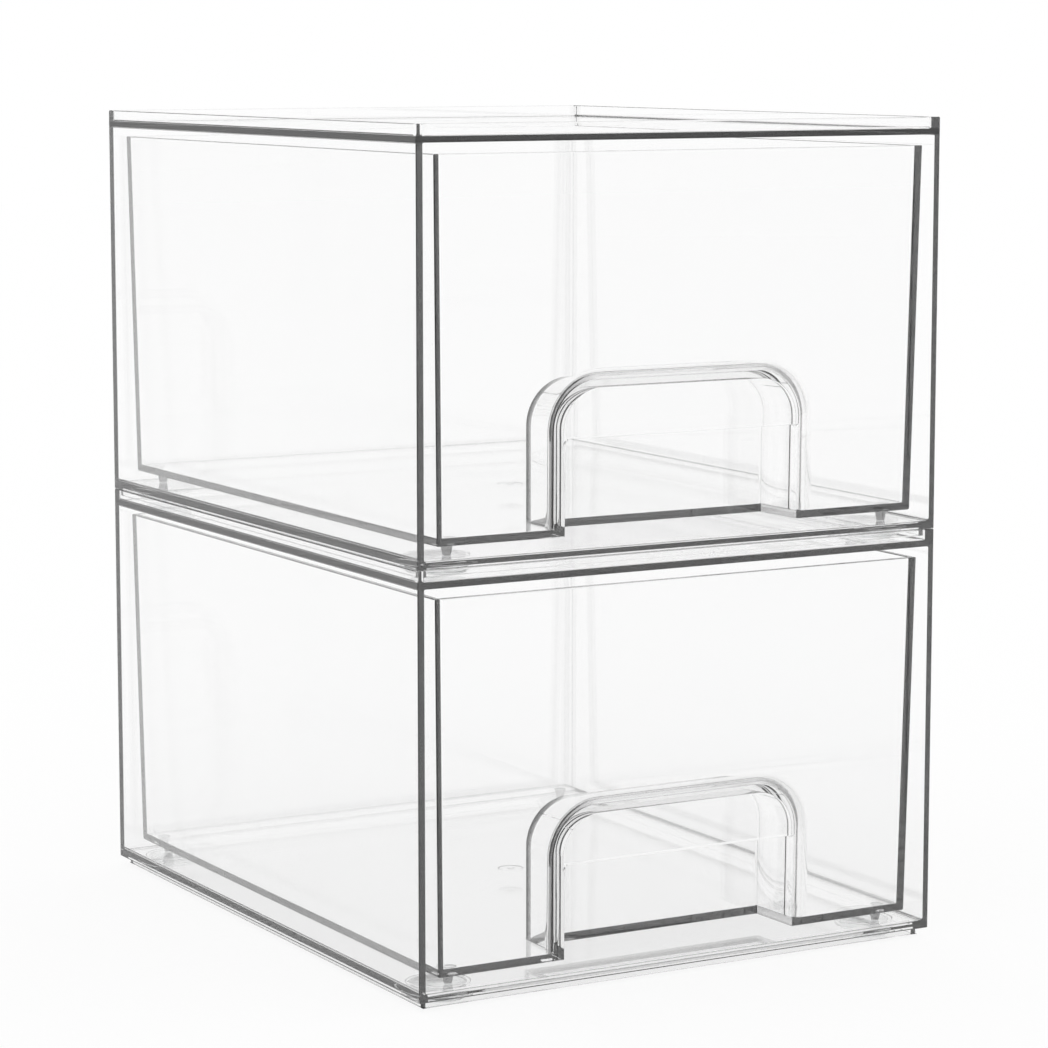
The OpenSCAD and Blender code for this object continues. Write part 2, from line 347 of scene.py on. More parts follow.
def skin_mesh(name: str, cells: Cells, roundings: list[Rounding], patches: list[Patch],
              warp: Warp) -> tuple[Mesh, float]:
    """Builds the warped skin of some cells, with its radii and its patches noted on it.

    Each edge's bevel weight is its radius as a share of the largest. Each face's material
    number is that of its patch, from 1, or 0 without one. Neighbouring faces in one plane and
    one patch are joined, so that a radius has room beside it.

    Args:
        name: Name of the mesh.
        cells: The solid on its straight grid.
        roundings: Radii by place on that grid.
        patches: Parts that look different.
        warp: Moves grid points to their places on the real piece, in mm.

    Returns:
        The mesh in mm and the largest radius.
    """
    points, quads = cells.surface()
    edges, radius = edge_radii(points, quads, roundings)
    mesh = bpy.data.meshes.new(name)
    mesh.from_pydata(warp(points), [], quads)
    middle, _ = face_places(points, quads)
    number = np.zeros(len(quads), np.int32)
    for place, patch in enumerate(patches, 1):
        if not patch.curved:
            number[within(middle, patch.low, patch.high)] = place
    mesh.polygons.foreach_set("material_index", number)

    pairs = np.zeros(2 * len(mesh.edges), np.int32)
    mesh.edges.foreach_get("vertices", pairs)
    base = np.array([len(points), 1])
    found = np.searchsorted(edges @ base, np.sort(pairs.reshape(-1, 2), axis=1) @ base)
    weight = mesh.attributes.new("bevel_weight_edge", "FLOAT", "EDGE")
    weight.data.foreach_set("value", (radius[found] / radius.max()).astype(np.float32))

    worked = bmesh.new()
    worked.from_mesh(mesh)
    bmesh.ops.dissolve_limit(worked, angle_limit=math.radians(FLAT_DEG), verts=worked.verts,
                             edges=worked.edges, delimit={"MATERIAL"})
    worked.to_mesh(mesh)
    worked.free()
    mesh.shade_smooth()
    return mesh, float(radius.max())


def round_edges(mesh: Mesh, width: float) -> Mesh:
    """Rounds a mesh's edges by their bevel weights, and takes the mesh itself away.

    Args:
        mesh: The mesh at one unit to a millimetre, where the modifier is accurate.
        width: Radius at a weight of 1.

    Returns:
        The rounded mesh.
    """
    name = mesh.name
    draft = place_object(name + "_draft", mesh)
    bevel = draft.modifiers.new("mould_radii", "BEVEL")
    bevel.limit_method = "WEIGHT"
    bevel.offset_type = "OFFSET"
    bevel.width = width
    bevel.segments = EDGE_STEPS
    bevel.use_clamp_overlap = False
    bevel.harden_normals = True
    depsgraph = bpy.context.evaluated_depsgraph_get()
    rounded = bpy.data.meshes.new_from_object(draft.evaluated_get(depsgraph),
                                              depsgraph=depsgraph)
    bpy.data.objects.remove(draft)
    bpy.data.meshes.remove(mesh)
    rounded.name = name
    return rounded


def mark_looks(mesh: Mesh, patches: list[Patch]) -> None:
    """Writes each look's share of each face to an attribute, which the material reads.

    A flat patch has a share of 1. A curved one fades round the arch: its share is the part of
    the face's normal that points sideways, out of the part that doesn't point to the front.

    Args:
        mesh: The rounded mesh in mm, with the patches' numbers as material numbers.
        patches: Parts that look different.
    """
    count = len(mesh.polygons)
    middle, normal = np.zeros(3 * count), np.zeros(3 * count)
    number = np.zeros(count, np.int32)
    mesh.polygons.foreach_get("center", middle)
    mesh.polygons.foreach_get("normal", normal)
    mesh.polygons.foreach_get("material_index", number)
    across, along, up = np.abs(normal.reshape(-1, 3)).T
    turning = (along > TURNING[0]) & (along < TURNING[1])
    steep = across / np.maximum(np.hypot(across, up), TINY)
    for look in Look:
        share = np.zeros(count)
        for place, patch in enumerate(patches, 1):
            if patch.look is look and patch.curved:
                found = turning & within(middle.reshape(-1, 3), patch.low, patch.high)
                share[found] = steep[found]
            elif patch.look is look:
                share[number == place] = 1.0
        mark = mesh.attributes.new(look.value, "FLOAT", "FACE")
        mark.data.foreach_set("value", share.astype(np.float32))
    mesh.polygons.foreach_set("material_index", np.zeros(count, np.int32))


def moulding(name: str, cells: Cells, roundings: list[Rounding], patches: list[Patch],
             warp: Warp, lift: float, finish: Material) -> Object:
    """Builds a moulded piece: the skin of its cells, warped to its drafts and curves, rounded.

    The whole moulding has one material, because it is one volume of clear resin.

    Args:
        name: Name of the piece.
        cells: The solid on its straight grid.
        roundings: Radii by place on that grid.
        patches: Parts that look different.
        warp: Moves grid points to their places on the real piece, in mm.
        lift: Height of the piece's zero in mm.
        finish: The moulding's material.

    Returns:
        The piece as an object at the origin, in metres.
    """
    skin, width = skin_mesh(name, cells, roundings, patches, warp)
    mesh = round_edges(skin, width)
    mark_looks(mesh, patches)
    mesh.materials.append(finish)
    mesh.transform(Matrix.Scale(MM, 4) @ Matrix.Translation((0, 0, lift)))
    return place_object(name, mesh)


@dataclass
class Case:
    """Open-fronted case: walls, top panel inside a rim, floor, plinth and pad seats.

    Attributes are sizes in mm, with z = 0 at the lower edge of the walls. The seats' steps are
    those of a quarter circle. The floor's lit strip is painted light, given to the lower case
    only:
    it has half the width lit_half, and lit_depth is how far it reaches back from the front.
    """

    width: float = 236.0
    depth: float = 284.0
    height: float = 165.0
    wall: float = 2.7
    panel_under: float = 158.0
    panel_top: float = 160.2
    floor_under: float = 0.3
    floor_top: float = 3.1
    nest_clear: float = 0.3
    plinth: float = 2.4
    plinth_drop: float = 3.0
    pad_inset: float = 19.0
    seat_inside: float = 10.2
    seat_outside: float = 11.8
    seat_bottom: float = -2.2
    seat_steps: int = 10
    seat_fade: float = 1.6
    corner_radius: float = 0.6
    bay_floor_fillet: float = 1.5
    bay_roof_fillet: float = 0.6
    bay_corner_fillet: float = 0.5
    plinth_corner: float = 2.2
    plinth_corner_reach: float = 4.0
    rim_corner_radius: float = 2.0
    rim_fillet: float = 1.0
    rim_edge: float = 0.5
    lip_radius: float = 1.4
    # painted light: size of the lower case's lit strip
    lit_half: float = 86.0
    lit_depth: float = 25.0
    trim: float = 0.2

    def cells(self) -> Cells:
        """Fills the case's cells on a straight grid.

        Returns:
            The case as cells, its pad seats still square.
        """
        x, y = self.width / 2, self.depth / 2
        seat = [self.seat_inside, self.seat_outside]
        lines = []
        for half, more in ((x, []), (y, [self.lit_depth - y])):
            steps = half - np.array([0, self.wall, self.wall + self.nest_clear,
                                     self.wall + self.nest_clear + self.plinth])
            pad = square_lines(half - self.pad_inset, seat, self.seat_steps)
            line = np.concatenate([steps, -steps, pad, -pad, more])
            lines.append(np.unique(np.round(line, DECIMALS)))
        lines.append(np.array([-self.plinth_drop, self.seat_bottom, 0, self.floor_under,
                               self.floor_top, self.panel_under, self.panel_top, self.height]))
        cells = Cells(tuple(lines))
        in_x, in_y = x - self.wall, y - self.wall
        out_x, out_y = in_x - self.nest_clear, in_y - self.nest_clear
        under_x, under_y = out_x - self.plinth, out_y - self.plinth
        cells.fill((-x, -y, 0), (x, y, self.height))
        cells.fill((-out_x, -out_y, -self.plinth_drop), (out_x, out_y, 0))
        cells.fill((-in_x, -in_y, self.panel_top), (in_x, in_y, self.height), False)
        cells.fill((-in_x, -y, self.floor_top), (in_x, in_y, self.panel_under), False)
        cells.fill((-under_x, -under_y, -self.plinth_drop), (under_x, under_y, self.floor_under),
                   False)
        for pad_x, pad_y in self.pads():
            for radius, solid in ((self.seat_outside, True), (self.seat_inside, False)):
                cells.fill((pad_x - radius, pad_y - radius, self.seat_bottom),
                           (pad_x + radius, pad_y + radius, self.floor_under), solid)
        return cells

    def pads(self) -> list[tuple[float, float]]:
        """Gives the centres of the four pads in x and y."""
        x, y = self.width / 2 - self.pad_inset, self.depth / 2 - self.pad_inset
        return [(side * x, end * y) for side in (-1, 1) for end in (-1, 1)]

    def roundings(self) -> list[Rounding]:
        """Lists the case's radii by place.

        Returns:
            The radii, the general ones first.
        """
        x, y = self.width / 2, self.depth / 2
        corner_x, corner_y = x - self.plinth_corner_reach, y - self.plinth_corner_reach
        below = -self.plinth_drop + NEAR
        return [
            Rounding(self.trim, False),
            Rounding(self.trim, True),
            Rounding(self.bay_corner_fillet, True, (-FAR, -FAR, self.floor_top + NEAR),
                     (FAR, FAR, self.panel_under - NEAR)),
            Rounding(self.bay_roof_fillet, True, (-FAR, -FAR, self.panel_under - NEAR),
                     (FAR, FAR, self.panel_under + NEAR)),
            Rounding(self.bay_floor_fillet, True, (-FAR, -FAR, self.floor_top - NEAR),
                     (FAR, FAR, self.floor_top + NEAR)),
            Rounding(self.rim_fillet, True, (-FAR, -FAR, self.panel_top - NEAR),
                     (FAR, FAR, self.panel_top + NEAR)),
            Rounding(self.rim_corner_radius, True, (-FAR, -FAR, self.panel_top + NEAR)),
            Rounding(self.rim_edge, False, (-FAR, -FAR, self.height - NEAR)),
            Rounding(self.corner_radius, False, (x - NEAR, -FAR, NEAR),
                     (FAR, FAR, self.height - NEAR)),
            Rounding(self.plinth_corner, False, (corner_x, corner_y, below),
                     (x - self.wall - NEAR, FAR, -NEAR)),
            Rounding(self.plinth_corner, False, (corner_x, -y, below),
                     (x - self.wall - NEAR, -corner_y, -NEAR)),
            Rounding(self.lip_radius, False, (-FAR, -y - NEAR, self.floor_top - NEAR),
                     (FAR, -y + NEAR, self.floor_top + NEAR)),
        ]

    def patches(self, level: Level) -> list[Patch]:
        """Marks the strip behind the lowest plate's front end, which is given painted light from
        below.

        Args:
            level: Which of the two units it is.

        Returns:
            The strip under the floor plate of the lower case, and nothing for the upper one.
        """
        # painted light: only the lower case gets the lit strip
        under = Patch(Look.LIT, (0, -FAR, self.floor_under - NEAR),
                      (self.lit_half, self.lit_depth - self.depth / 2, self.floor_under + NEAR))
        return [under] if level is Level.LOWER else []

    def warp(self, points: Array) -> Array:
        """Makes the pad seats round.

        Args:
            points: Crossings of the straight grid, one row each, in mm.

        Returns:
            Their places on the case.
        """
        for pad in self.pads():
            points = squares_to_circles(points, pad, self.seat_outside, self.seat_fade,
                                        self.floor_under)
        return points

    def build(self, level: Level, finish: Material) -> Object:
        """Builds the case of one unit."""
        return moulding(f"{level.prefix}_case_moulding", self.cells(), self.roundings(),
                        self.patches(level), self.warp, level.height, finish)


@dataclass
class Drawer:
    """Drawer with drafted walls, an arched finger pocket behind its front, and four feet.

    Attributes are sizes in mm, with z = 0 at the drawer's underside. Steps are those of a
    quarter circle, or of half of one for the arch. Fades are widths in which the movement of a
    round or leaning part dies away in the flat part beside it. The three painted-shade sizes
    bound the corners of the pocket given painted shade: extra loss that renders them dark.
    """

    width: float = 220.4
    front: float = -141.2
    back: float = 137.3
    height: float = 146.0
    wall: float = 2.8
    floor: float = 2.9
    side_draft: float = 2.1
    end_draft: float = 2.2
    draft_fade: float = 4.0
    above_case: float = 7.8
    pocket_half: float = 53.0
    pocket_height: float = 56.5
    pocket_back: float = -114.0
    pocket_wall: float = 3.0
    pocket_draft_deg: float = 2.0
    shoulder: float = 16.5
    arch_steps: int = 12
    window_height: float = 37.4
    foot_tip: float = 1.6
    foot_top: float = 2.5
    foot_height: float = 4.6
    foot_steps: int = 6
    foot_fade: float = 1.9
    foot_at: tuple[float, float, float] = (99.6, -130.5, 126.6)
    gate_radius: float = 5.25
    gate_stub: float = 1.2
    gate_depth: float = 0.5
    gate_steps: int = 10
    gate_fade: float = 3.75
    corner_radius: float = 1.0
    lower_edge: float = 0.8
    rim_edge: float = 0.5
    wall_fillet: float = 0.5
    floor_fillet: float = 0.2
    pocket_fillet: float = 5.0
    pocket_inner_edge: float = 0.8
    pocket_outer_edge: float = 1.0
    window_corner: float = 2.5
    visor_edge: float = 0.8
    foot_root: float = 0.3
    gate_edge: float = 0.4
    # painted shade: the next three sizes bound the pocket's corners that are painted dark
    painted_shade_strip: float = 5.0
    painted_shade_reach: float = 7.0
    painted_shade_above_floor: float = 0.5
    trim: float = 0.2

    @property
    def middle(self) -> float:
        """Middle of the drawer from front to back."""
        return (self.front + self.back) / 2

    @property
    def heel(self) -> float:
        """Inner face of the front wall at the rim's height."""
        return self.front + self.wall

    @property
    def rear(self) -> float:
        """Outer face of the pocket's back."""
        return self.pocket_back + self.pocket_wall

    @property
    def pocket_out(self) -> float:
        """Outer face of the pocket's sides."""
        return self.pocket_half + self.pocket_wall

    def feet(self) -> list[tuple[float, float]]:
        """Gives the centres of the four feet in x and y."""
        x, front, back = self.foot_at
        return [(side * x, y) for side in (-1, 1) for y in (front, back)]

    def lines(self) -> tuple[Array, Array, Array]:
        """Places the grid's lines, with a fan of them where the arch will be.

        The fan lies at shoulder * tan(angle) from the arch's centre lines, for angles in equal
        steps from 0 to 45 degrees.

        Returns:
            The lines along x, y and z.
        """
        x = self.width / 2
        arch, spring = self.pocket_half - self.shoulder, self.pocket_height - self.shoulder
        fan = self.shoulder * np.tan(np.radians(np.linspace(0, 45, self.arch_steps + 1)))
        foot_x = square_lines(self.foot_at[0], [self.foot_top], self.foot_steps)
        feet_y = [square_lines(y, [self.foot_top], self.foot_steps) for y in self.foot_at[1:]]
        gate = square_lines(0, [self.gate_radius, self.gate_stub], self.gate_steps)
        side = np.concatenate(
            [[x, x - self.wall, self.pocket_half, self.pocket_out], arch + fan, foot_x])
        ends = [self.front, self.heel, self.pocket_back, self.rear, self.back - self.wall,
                self.back]
        heights = [-self.foot_height, 0, self.gate_depth, self.floor, self.window_height,
                   self.pocket_height, self.pocket_height + self.pocket_wall, self.height]
        return tuple(np.unique(np.round(np.concatenate(line), DECIMALS)) for line in (
            (side, -side, gate), (ends, *feet_y, self.middle + gate), (heights, spring + fan)))

    def cells(self) -> Cells:
        """Fills the drawer's cells on a straight grid.

        Returns:
            The drawer as cells, without its drafts and curves.
        """
        x, wall, heel, out = self.width / 2, self.wall, self.heel, self.pocket_out
        half = self.pocket_half
        cells = Cells(self.lines())
        cells.fill((-x, self.front, 0), (x, self.back, self.height))
        cells.fill((-x + wall, heel, self.floor), (x - wall, self.back - wall, self.height), False)
        cells.fill((-out, heel, 0), (out, self.rear, self.pocket_height + self.pocket_wall))
        cells.fill((-half, heel, 0), (half, self.pocket_back, self.pocket_height), False)
        cells.fill((-half, self.front, 0), (half, heel, self.window_height), False)
        for foot_x, foot_y in self.feet():
            cells.fill((foot_x - self.foot_top, foot_y - self.foot_top, -self.foot_height),
                       (foot_x + self.foot_top, foot_y + self.foot_top, 0))
        for radius, solid in ((self.gate_radius, False), (self.gate_stub, True)):
            cells.fill((-radius, self.middle - radius, 0),
                       (radius, self.middle + radius, self.gate_depth), solid)
        return cells

    def roundings(self) -> list[Rounding]:
        """Lists the drawer's radii by place.

        Returns:
            The radii, the general ones first.
        """
        x, heel, rear, out = self.width / 2, self.heel, self.rear, self.pocket_out
        low, high = (-FAR, -FAR), (FAR, FAR)
        return [
            Rounding(self.trim, False),
            Rounding(self.trim, True),
            Rounding(self.foot_root, True, (self.foot_at[0] - 2 * self.foot_top, -FAR, -NEAR),
                     (*high, NEAR)),
            Rounding(self.gate_edge, True, (-FAR, -FAR, self.gate_depth - NEAR),
                     (*high, self.gate_depth + NEAR)),
            Rounding(self.rim_edge, False, (*low, self.height - NEAR)),
            Rounding(self.corner_radius, False, (x - NEAR, -FAR, NEAR),
                     (*high, self.height - NEAR)),
            Rounding(self.lower_edge, False, (x - NEAR, -FAR, -NEAR), (*high, NEAR)),
            Rounding(self.lower_edge, False, (-FAR, self.back - NEAR, -NEAR), (*high, NEAR)),
            Rounding(self.lower_edge, False, (self.pocket_half + NEAR, -FAR, -NEAR),
                     (FAR, self.front + NEAR, NEAR)),
            Rounding(self.floor_fillet, True, (*low, self.floor - NEAR),
                     (*high, self.floor + NEAR)),
            Rounding(self.wall_fillet, True, (x - self.wall - NEAR, -FAR, self.floor + NEAR)),
            Rounding(self.pocket_fillet, True,
                     (self.pocket_half + NEAR, heel - NEAR, self.floor + NEAR),
                     (out + NEAR, heel + NEAR, FAR)),
            Rounding(self.pocket_fillet, True, (-FAR, heel - NEAR, self.pocket_height + NEAR),
                     (out + NEAR, heel + NEAR, FAR)),
            Rounding(self.pocket_outer_edge, False, (-FAR, rear - NEAR, self.floor + NEAR),
                     (FAR, rear + NEAR, FAR)),
            Rounding(self.pocket_inner_edge, True, (-FAR, self.pocket_back - NEAR, NEAR),
                     (FAR, self.pocket_back + NEAR, self.pocket_height + NEAR)),
            Rounding(self.window_corner, True,
                     (self.pocket_half - NEAR, self.front + NEAR, self.window_height - NEAR),
                     (self.pocket_half + NEAR, heel - NEAR, self.window_height + NEAR)),
            Rounding(self.visor_edge, False, (-FAR, -FAR, self.window_height - NEAR),
                     (self.pocket_half - NEAR, heel + NEAR, self.window_height + NEAR)),
        ]

    def patches(self) -> list[Patch]:
        """Lists the parts that look different.

        Returns:
            The pocket's rear corners and the fillet between its sides and the drawer's front,
            which get painted shade, and the feet, which get a painted grey shade.
        """
        heel, rear, out = self.heel, self.rear, self.pocket_out
        return [
            # painted shade on the pocket's rear corners and on the fillets to the drawer's front
            Patch(Look.PAINTED_SHADE, (out - self.painted_shade_strip, rear - NEAR, self.floor),
                  (out + NEAR, rear + NEAR, FAR)),
            Patch(Look.PAINTED_SHADE, (0, heel + NEAR, self.floor + self.painted_shade_above_floor),
                  (out + self.painted_shade_reach, heel + self.pocket_fillet + NEAR, FAR), curved=True),
            # painted shade: marks the feet for the grey painted on them
            Patch(Look.FOOT, (0, -FAR, -FAR), (FAR, FAR, -NEAR)),
        ]

    def warp_arch(self, points: Array) -> Array:
        """Bends the pocket's square section into its arch and narrows it to the rear.

        Round a line at each shoulder the squares of half side m = max(u, v) become quarter
        circles of radius m less the pocket's draft at that depth. This fades out in the front
        wall round it.

        Args:
            points: Points of the drawer, one row each, in mm.

        Returns:
            The moved points.
        """
        x, y, z = points.T.copy()
        arch, spring = self.pocket_half - self.shoulder, self.pocket_height - self.shoulder
        u, v = np.maximum(np.abs(x) - arch, 0), np.maximum(z - spring, 0)
        square, circle = np.maximum(u, v), np.maximum(np.hypot(u, v), TINY)
        full = self.shoulder + self.pocket_wall
        share = np.clip((2 * full - square) / full, 0, 1)
        slope = math.tan(math.radians(self.pocket_draft_deg))
        depth = np.maximum(np.minimum(y, self.rear) - self.heel - self.end_draft, 0)
        radius = square - depth * slope * np.clip(square / self.shoulder, 0, 1)
        factor = 1 + (radius / circle - 1) * share * (square > 0)
        return np.stack([x + np.sign(x) * u * (factor - 1), y, z + v * (factor - 1)], axis=-1)

    def warp(self, points: Array) -> Array:
        """Moves grid points to the drafted and curved drawer.

        The gate mark and the feet become round, and the feet taper. The pocket gets its arch.
        Then the outer walls lean in by an amount that grows evenly from the rim down.

        Args:
            points: Crossings of the straight grid, one row each, in mm.

        Returns:
            Their places on the drawer, with z = 0 at its underside.
        """
        points = squares_to_circles(points, (0, self.middle), self.gate_radius, self.gate_fade,
                                    self.gate_depth)
        for foot in self.feet():
            points = squares_to_circles(points, foot, self.foot_top, self.foot_fade, 0)
            away = points[:, :2] - np.array(foot)
            tip = (np.hypot(*away.T) < self.foot_top + NEAR) & (points[:, 2] < -NEAR)
            points[tip, :2] = np.array(foot) + away[tip] * self.foot_tip / self.foot_top
        side = np.sign(points[:, 0])
        x, y, z = self.warp_arch(points).T

        drop, fade = 1 - z / self.height, self.draft_fade
        edge, front, back = self.width / 2 - self.wall, self.heel, self.back - self.wall
        x = x - side * self.side_draft * drop * np.clip((np.abs(x) - edge + fade) / fade, 0, 1)
        y = (y + self.end_draft * drop * np.clip((front + fade - y) / fade, 0, 1)
             - self.end_draft * drop * np.clip((y - back + fade) / fade, 0, 1))
        return np.stack([x, y, z], axis=-1)

    def build(self, level: Level, finish: Material) -> Object:
        """Builds the drawer of one unit."""
        return moulding(f"{level.prefix}_drawer_moulding", self.cells(), self.roundings(),
                        self.patches(), self.warp, level.height + self.above_case, finish)


@dataclass
class Pad:
    """Round anti-slip pad: a pressed rubber disc with a shallow dish under it.

    Attributes are sizes in mm, with z = 0 at the lower edge of the case's walls. The seam is
    the thin flash where the two halves of the press met.
    """

    radius: float = 10.0
    top: float = 0.2
    bottom: float = -3.6
    low_edge: float = 1.0
    high_edge: float = 0.5
    dish: float = 7.0
    dish_depth: float = 0.4
    seam: float = -2.4
    seam_out: float = 0.1
    seam_half: float = 0.15
    curve_steps: int = 8
    around: int = 72

    def profile(self) -> Array:
        """Draws the half section, from the middle below to the middle above.

        The dish sinks by half a cosine wave from its rim. Both outer edges are quarter circles,
        and the flash of the seam is a low ridge between them.

        Returns:
            Radius and height of each point, one row each.
        """
        turn = np.linspace(0, 1, self.curve_steps + 1)
        dish = np.stack([self.dish * turn, self.bottom + self.dish_depth
                         * (1 + np.cos(np.pi * turn)) / 2], axis=-1)
        angle = np.radians(90 * turn)
        low = np.stack([self.radius - self.low_edge * (1 - np.sin(angle)),
                        self.bottom + self.low_edge * (1 - np.cos(angle))], axis=-1)
        high = np.stack([self.radius - self.high_edge * (1 - np.cos(angle)),
                         self.top - self.high_edge * (1 - np.sin(angle))], axis=-1)
        ridge = np.array([[self.radius, self.seam - self.seam_half],
                          [self.radius + self.seam_out, self.seam],
                          [self.radius, self.seam + self.seam_half]])
        return np.concatenate([dish, low, ridge, high])

    def build(self, name: str, place: Point, finish: Material) -> Object:
        """Turns the half section round its upright axis into a closed disc.

        Args:
            name: Name of the piece.
            place: The pad's axis in x and y, and its unit's height, in mm.
            finish: The disc's material.

        Returns:
            The disc as an object at the origin, in metres.
        """
        profile = self.profile()
        section, ends = profile[1:-1], profile[[0, -1]]
        rows = len(section)
        angle = np.arange(self.around) * 2 * np.pi / self.around
        ring = np.stack([np.cos(angle), np.sin(angle), np.zeros(self.around)], axis=-1)
        points = (section[:, None, :1] * ring + section[:, None, 1:] * (0, 0, 1)).reshape(-1, 3)
        points = np.concatenate([points, ends[:, 1:] * (0, 0, 1)]) + np.array(place)
        number = np.arange(rows * self.around).reshape(rows, self.around)
        beside = np.roll(number, -1, axis=1)
        sides = np.stack([number[:-1], beside[:-1], beside[1:], number[1:]], axis=-1)
        bottom, top = (np.full(self.around, rows * self.around + end) for end in (0, 1))
        below = np.stack([beside[0], number[0], bottom], axis=-1)
        above = np.stack([number[-1], beside[-1], top], axis=-1)
        mesh = bpy.data.meshes.new(name)
        mesh.from_pydata(points * MM, [], sides.reshape(-1, 4).tolist() + below.tolist()
                         + above.tolist())
        mesh.materials.append(finish)
        mesh.shade_smooth()
        return place_object(name, mesh)


# ---- Finishes ----


@dataclass(frozen=True)
class ClearPolystyrene:
    """General purpose polystyrene, injection moulded in a polished steel mould.

    The eye gets a glass-clear sheet that shows only by its edges: light that enters an edge
    runs through the whole length of a wall, where the resin's faint grey and a little loss at
    each of its many total reflections add up to a dark line. Where the melt flowed, the panes
    wave by a few thousandths of a millimetre, and handling leaves hairline scratches.

    Attributes:
        foot_painted_shade: Grey painted on the drawer's feet as painted shade, where the short
            clear posts look dark.
        skin_loss: Loss at a total reflection along the normal.
        corner_painted_shade: Extra loss in the pocket's corners, painted shade that renders them
            dark.
        lit_share: Painted light: what it gains on the lower case's lit face, where light from
            below takes the place of the loss and keeps the plate's end pale.
        total_from: Fresnel value above which a reflection counts as total.
        scratch_mm: Width of the scratches, coarser than the real 0.05 mm, which is too fine
            for the picture.
        scratch_from: Noise values where a scratch starts and where it is full.
    """

    name: str = "clear_polystyrene_injection_moulded"
    tint: str = "#FFFFFF"
    # painted shade: grey painted on the drawer's feet
    foot_painted_shade: str = "#9C9C9C"
    ior: float = 1.59
    roughness: float = 0.0
    absorbed: str = "#000000"
    density_per_m: float = 3.5
    skin_loss: float = 0.012
    # painted shade: extra loss at each total reflection in the pocket's corners
    corner_painted_shade: float = 0.4
    # painted light: share swapped for light from below on the lower case's lit face
    lit_share: float = 0.15
    total_from: float = 0.999
    flow_mm: float = 14.0
    flow_height_mm: float = 0.003
    scratch_mm: float = 0.5
    scratch_turn: Point = (0.3, 0.5, 0.8)
    scratch_stretch: Point = (1.0, 0.03, 0.03)
    scratch_from: tuple[float, float] = (0.76, 0.9)
    scratch_roughness: float = 0.08

    def sheet(self, tree: NodeTree) -> Node:
        """Adds the clear surface, with its flow lines and scratches.

        Args:
            tree: The material's node tree.

        Returns:
            The shader of the surface.
        """
        # painted shade: the foot attribute mixes the grey painted on the feet into the clear tint
        foot = add_node(tree, "ShaderNodeAttribute", {"attribute_name": Look.FOOT.value})
        # A colour mix has its factor at socket 0, its colours at 6 and 7 and its result at 2.
        tint = add_node(tree, "ShaderNodeMix", {"data_type": "RGBA"}, {
            0: foot.outputs["Fac"], 6: linear(self.tint), 7: linear(self.foot_painted_shade)})
        place = add_node(tree, "ShaderNodeTexCoord")
        flow = add_node(tree, "ShaderNodeTexNoise", inputs={
            "Vector": place.outputs["Object"], "Scale": 1 / (self.flow_mm * MM), "Detail": 1.0})
        relief = add_node(tree, "ShaderNodeBump", inputs={
            "Distance": self.flow_height_mm * MM, "Height": flow.outputs["Fac"]})
        stretched = add_node(tree, "ShaderNodeMapping", inputs={
            "Vector": place.outputs["Object"], "Rotation": self.scratch_turn,
            "Scale": self.scratch_stretch})
        hairs = add_node(tree, "ShaderNodeTexNoise", inputs={
            "Vector": stretched.outputs["Vector"], "Scale": 1 / (self.scratch_mm * MM),
            "Detail": 0.0})
        scratched = add_node(tree, "ShaderNodeMapRange", inputs={
            "Value": hairs.outputs["Fac"], "From Min": self.scratch_from[0],
            "From Max": self.scratch_from[1], "To Min": self.roughness,
            "To Max": self.scratch_roughness})
        return add_node(tree, "ShaderNodeBsdfPrincipled", inputs={
            "Base Color": tint.outputs[2], "Roughness": scratched.outputs["Result"],
            "IOR": self.ior, "Transmission Weight": 1.0, "Normal": relief.outputs["Normal"]})

    def loss(self, tree: NodeTree, lit: Node) -> Node:
        """Works out what the skin takes of each total reflection.

        The share is the loss along the normal divided by the cosine of the ray's angle with
        the normal, as in a thin grey layer. Fresnel is 1 for a total reflection and less for
        every look through a pane, which is left alone.

        Args:
            tree: The material's node tree.
            lit: Node that reads which faces get painted light from below.

        Returns:
            The node that gives the share, from 0 to 1.
        """
        # painted shade: marked corner faces lose far more at each total reflection, so they render
        # dark
        painted_shade = add_node(tree, "ShaderNodeAttribute", {"attribute_name": Look.PAINTED_SHADE.value})
        skin = add_node(tree, "ShaderNodeMath", {"operation": "MULTIPLY_ADD"},
                        {0: painted_shade.outputs["Fac"], 1: self.corner_painted_shade, 2: self.skin_loss})
        # painted light: on the lit face a share of each total reflection goes to light from below
        along = add_node(tree, "ShaderNodeMath", {"operation": "MULTIPLY_ADD"},
                         {0: lit.outputs["Fac"], 1: self.lit_share, 2: skin.outputs[0]})
        fresnel = add_node(tree, "ShaderNodeFresnel", inputs={"IOR": self.ior})
        total = add_node(tree, "ShaderNodeMath", {"operation": "GREATER_THAN"},
                         {0: fresnel.outputs["Fac"], 1: self.total_from})
        # With a blend of 0.5, Facing is 1 less the cosine.
        facing = add_node(tree, "ShaderNodeLayerWeight", inputs={"Blend": 0.5})
        cosine = add_node(tree, "ShaderNodeMath", {"operation": "SUBTRACT"},
                          {0: 1.0, 1: facing.outputs["Facing"]})
        taken = add_node(tree, "ShaderNodeMath", {"operation": "DIVIDE"},
                         {0: along.outputs[0], 1: cosine.outputs[0]})
        return add_node(tree, "ShaderNodeMath", {"operation": "MULTIPLY", "use_clamp": True},
                        {0: total.outputs[0], 1: taken.outputs[0]})

    def make(self) -> Material:
        """Builds the material: clear surface, lossy skin and faintly grey volume.

        What the skin takes goes to black. On a lit face it goes to light from below instead,
        scattered through the skin: painted light that keeps the lowest plate's end pale.

        Returns:
            The material.
        """
        material = bpy.data.materials.new(self.name)
        tree = empty_tree(material)
